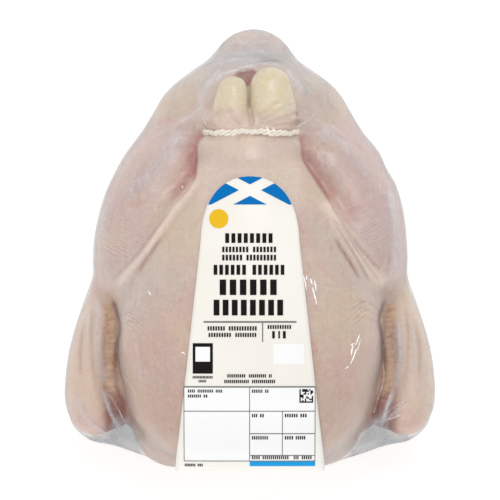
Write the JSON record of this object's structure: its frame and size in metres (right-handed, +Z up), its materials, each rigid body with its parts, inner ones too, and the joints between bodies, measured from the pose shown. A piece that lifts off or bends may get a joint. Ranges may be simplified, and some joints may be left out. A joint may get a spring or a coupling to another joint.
{
  "type": "whole_raw_chicken",
  "caption": "Whole raw oven-ready chicken, breast up with its hocks tied, in a tight clear film bag with a tapered paper label on the breast",
  "frame": {"origin": "on the resting surface, under the middle of the object's length and width", "axes": "+Y from the neck end to the tail, +Z up through the breast, +X to the side"},
  "size_m": [0.2102, 0.2507, 0.1203],
  "materials": {
    "film": "clear thin film, gloss",
    "skin": "moist raw poultry skin",
    "tie": "cream elastic",
    "label": "satin coated paper"
  },
  "bodies": {
    "root": {"bagged_chicken": "skin", "label": "label"}
  },
  "joints": []
}
